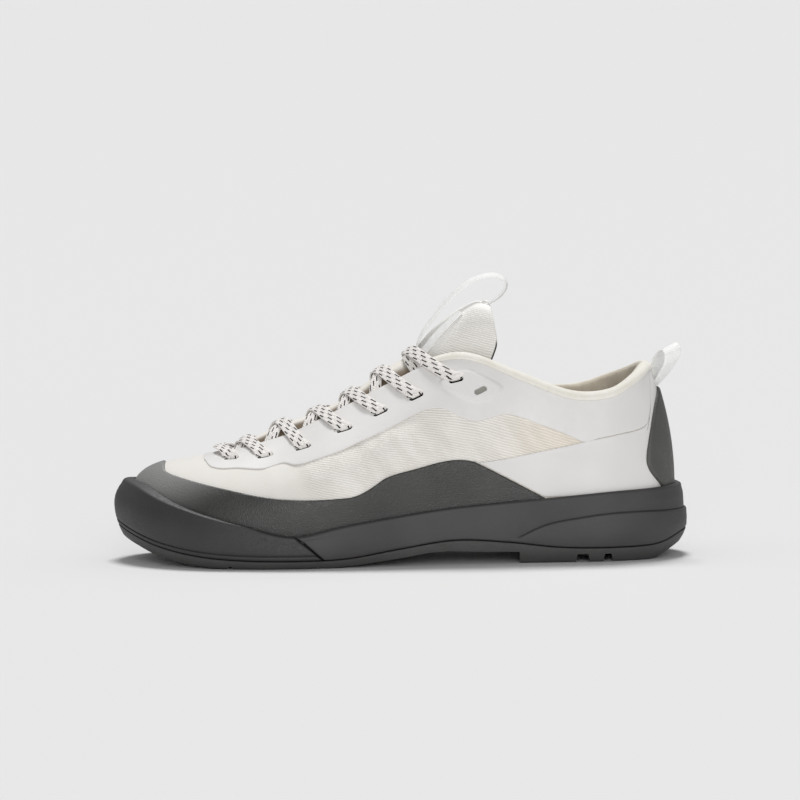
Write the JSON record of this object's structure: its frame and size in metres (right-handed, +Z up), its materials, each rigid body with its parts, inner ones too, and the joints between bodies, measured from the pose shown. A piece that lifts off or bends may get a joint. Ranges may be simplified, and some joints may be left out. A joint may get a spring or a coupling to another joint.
{
  "type": "trail shoe",
  "caption": "low trail shoe for the left foot with a dark rubber sole and rand, a pale mesh and film upper, a padded collar, a laced throat and pull loops at tongue and heel",
  "frame": {"origin": "on the floor under the middle of the shoe's bounding box", "axes": "toe points along -X, heel along +X; the outer (lateral) side of this left shoe faces -Y; +Z is up"},
  "size_m": [0.2993, 0.1066, 0.1474],
  "materials": {
    "rubber": "matt moulded dark grey rubber",
    "foam": "matt moulded dark grey foam",
    "mesh": "finely ribbed off-white mesh",
    "film": "smooth white film bonded to the mesh",
    "knit": "ribbed off-white knit",
    "lining": "soft cream lining",
    "lace": "flat white braid with dark flecks",
    "webbing": "smooth white woven tape"
  },
  "bodies": {
    "root": {"outsole": "rubber", "toe_bumper": "rubber", "midsole": "foam", "insole": "lining", "upper": "mesh", "rand": "rubber", "quarter_film": "film", "heel_panel": "film", "heel_counter": "rubber", "tongue": "knit", "collar_pad": "lining", "lace_bar": "lace", "lace_crossing_1": "lace", "lace_crossing_2": "lace", "lace_crossing_3": "lace", "lace_crossing_4": "lace", "lace_crossing_5": "lace", "lace_crossing_6": "lace", "tongue_tab": "webbing", "tongue_loop": "webbing", "heel_loop": "webbing"}
  },
  "joints": []
}
